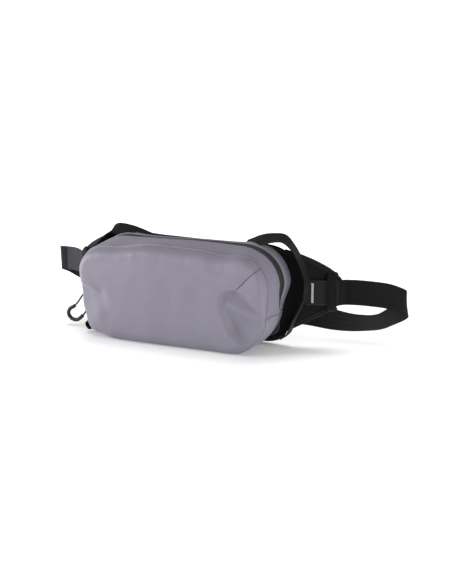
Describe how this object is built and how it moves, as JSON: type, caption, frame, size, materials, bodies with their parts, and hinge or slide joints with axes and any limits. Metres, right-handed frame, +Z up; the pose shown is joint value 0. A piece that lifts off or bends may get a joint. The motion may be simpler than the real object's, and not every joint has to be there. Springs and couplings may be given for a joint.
{
  "type": "waist throw rope bag",
  "caption": "Padded waist-worn bag with a zipped coated-fabric rope compartment, folding hip wings, stabiliser straps and a webbing belt.",
  "frame": {"origin": "middle of the flat base of the compartment, on the plane it stands on", "axes": "+X along the bag's length to the viewer's right when facing the front panel, +Y towards the wearer, +Z up"},
  "size_m": [0.5991, 0.1772, 0.1694],
  "materials": {
    "coated_fabric": "smooth matt coated woven",
    "foam": "closed-cell foam",
    "lining_fabric": "plain woven",
    "zip_tape": "matt coated water-resistant tape",
    "zip_plastic": "moulded coil",
    "metal": "plated",
    "black_fabric": "woven, black",
    "stiffener": "extruded sheet",
    "spacer_mesh": "open spacer mesh",
    "webbing": "ribbed woven webbing",
    "elastic": "ribbed elastic",
    "buckle_plastic": "fine textured",
    "slider_metal": "matt black",
    "cord": "braided",
    "grip": "matt sleeve",
    "bartack_thread": "stitched thread",
    "rope": "braided floating rope"
  },
  "bodies": {
    "bag": {"front_panel": "coated_fabric", "front_gusset": "coated_fabric", "rear_gusset": "coated_fabric", "bottom_panel": "coated_fabric", "front_foam": "foam", "base_foam": "foam", "rear_foam": "foam", "lining": "lining_fabric", "zip_tape_front": "zip_tape", "zip_tape_rear": "zip_tape", "zip_coil_front": "zip_plastic", "zip_coil_rear": "zip_plastic", "zip_end_stops": "metal", "back_wall": "black_fabric", "frame_sheet": "stiffener", "back_foam": "foam", "back_mesh": "spacer_mesh", "back_binding": "black_fabric", "upper_stabiliser_right": "webbing", "upper_stabiliser_left": "webbing", "lower_stabiliser_right": "webbing", "lower_stabiliser_left": "webbing", "belt_right": "webbing", "belt_left": "webbing", "buckle_female": "buckle_plastic", "female_magnet": "metal", "grab_tab": "black_fabric", "rope_anchor_loop": "black_fabric", "throw_rope": "rope"},
    "wing_right": {"wing_face_right": "black_fabric", "wing_foam_right": "foam", "wing_mesh_right": "spacer_mesh", "wing_binding_right": "black_fabric", "belt_anchor_right": "webbing", "belt_keeper_right": "elastic", "contrast_bartack_right": "bartack_thread"},
    "wing_left": {"wing_face_left": "black_fabric", "wing_foam_left": "foam", "wing_mesh_left": "spacer_mesh", "wing_binding_left": "black_fabric", "belt_anchor_left": "webbing", "belt_keeper_left": "elastic"},
    "slider": {"zip_slider": "slider_metal"},
    "zip_pull": {"zip_bail": "slider_metal", "pull_cord": "cord", "pull_tube": "grip"},
    "buckle_half": {"buckle_male": "buckle_plastic", "male_magnet": "metal", "belt_left_end": "webbing", "buckle_pull_tab": "black_fabric"},
    "belt_tail_keeper": {"tail_keeper": "elastic"}
  },
  "joints": [
    {"name": "zip_travel", "type": "slide", "parent": "bag", "child": "slider", "axis": [-0.0866, 0, 0.9962], "range_m": [0, 0.025]},
    {"name": "zip_pull_swing", "type": "hinge", "parent": "slider", "child": "zip_pull", "pos_m": [-0.15782, 0.011, 0.06777], "axis": [0, 1, 0], "range_deg": [-20, 90]},
    {"name": "wing_right_fold", "type": "hinge", "parent": "bag", "child": "wing_right", "pos_m": [0.15, 0.054, 0.084], "axis": [0, 0, 1], "range_deg": [0, 18]},
    {"name": "wing_left_fold", "type": "hinge", "parent": "bag", "child": "wing_left", "pos_m": [-0.15, 0.054, 0.084], "axis": [0, 0, -1], "range_deg": [0, 18]},
    {"name": "buckle_release", "type": "slide", "parent": "bag", "child": "buckle_half", "axis": [0, 0, 1], "range_m": [0, 0.03]},
    {"name": "tail_keeper_slide", "type": "slide", "parent": "bag", "child": "belt_tail_keeper", "axis": [1, 0, 0], "range_m": [-0.03, 0.04]}
  ]
}
